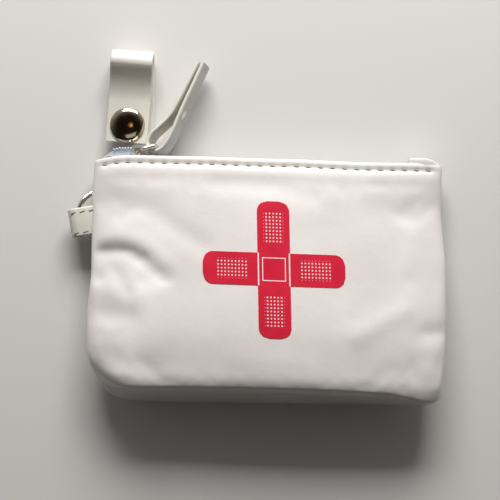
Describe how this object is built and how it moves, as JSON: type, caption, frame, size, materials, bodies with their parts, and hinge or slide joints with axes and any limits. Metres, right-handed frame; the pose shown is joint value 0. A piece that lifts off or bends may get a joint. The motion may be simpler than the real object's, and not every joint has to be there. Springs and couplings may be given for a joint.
{
  "type": "first aid kit",
  "caption": "Small zip pouch first aid kit with a snapped hang strap, a leather zip pull, a side tab with a ring, and dressings and tools inside.",
  "frame": {"origin": "middle of the flat on the back panel that the pouch lies on", "axes": "+Z out of the front panel, +Y towards the zip and the hang strap, +X to the right, away from the side tab"},
  "size_m": [0.1334, 0.1248, 0.0251],
  "materials": {
    "pu_leather": "coated, fine grained, satin",
    "lining_fabric": "plain woven",
    "zip_tape": "woven",
    "zip_coil": "moulded nylon, satin",
    "nickel": "polished nickel plate",
    "red_film": "transfer film, satin",
    "gauze": "open woven cotton",
    "cloth_tape": "woven, matt",
    "card": "plain",
    "wrapper_paper": "smooth",
    "sachet_foil": "laminated foil, satin",
    "steel": "brushed"
  },
  "bodies": {
    "pouch": {"front_panel": "pu_leather", "back_panel": "pu_leather", "lining_front": "lining_fabric", "lining_back": "lining_fabric", "zip_tape_front": "zip_tape", "zip_tape_back": "zip_tape", "zip_coil_front": "zip_coil", "zip_coil_back": "zip_coil", "zip_top_stops": "nickel", "zip_end_stop": "nickel", "zip_end_tab": "pu_leather", "strap_anchor": "pu_leather", "side_tab": "pu_leather", "front_emblem": "red_film", "gauze_roll": "gauze", "tape_roll": "cloth_tape", "tape_core": "card", "plasters": "wrapper_paper", "gauze_pads": "wrapper_paper", "wipe_sachets": "sachet_foil", "tweezers": "steel", "safety_pins": "steel"},
    "slider": {"zip_slider": "nickel"},
    "link": {"pull_link": "nickel"},
    "leather": {"leather_pull": "pu_leather", "pull_rivet": "nickel"},
    "strap": {"strap_back_leaf": "pu_leather", "strap_fold": "pu_leather", "snap_stud": "nickel", "snap_post": "nickel"},
    "flap": {"strap_front_leaf": "pu_leather", "snap_cap": "nickel", "snap_socket": "nickel"},
    "ring": {"side_ring": "nickel"}
  },
  "joints": [
    {"name": "zip_slide", "type": "slide", "parent": "pouch", "child": "slider", "axis": [1, 0, 0], "range_m": [0, 0.09], "deforming": ["zip_coil_front", "zip_coil_back"]},
    {"name": "pull_swing", "type": "hinge", "parent": "slider", "child": "link", "pos_m": [-0.0443, 0.04555, 0.0078], "axis": [0, 0, 1], "range_deg": [-10, 8]},
    {"name": "leather_swing", "type": "hinge", "parent": "link", "child": "leather", "pos_m": [-0.03978, 0.04684, 0.0078], "axis": [0, 0, 1], "range_deg": [-45, 18]},
    {"name": "strap_swing", "type": "hinge", "parent": "pouch", "child": "strap", "pos_m": [-0.0485, 0.0426, 0.00075], "axis": [1, 0, 0], "range_deg": [-150, 0]},
    {"name": "snap_open", "type": "hinge", "parent": "strap", "child": "flap", "pos_m": [-0.0485, 0.0763, 0.00535], "axis": [-1, 0, 0], "range_deg": [0, 150], "deforming": ["strap_fold"]},
    {"name": "ring_swing", "type": "hinge", "parent": "pouch", "child": "ring", "pos_m": [-0.06596, 0.02001, 0.0074], "axis": [-0.304, 0.9527, 0], "range_deg": [0, 240]}
  ]
}
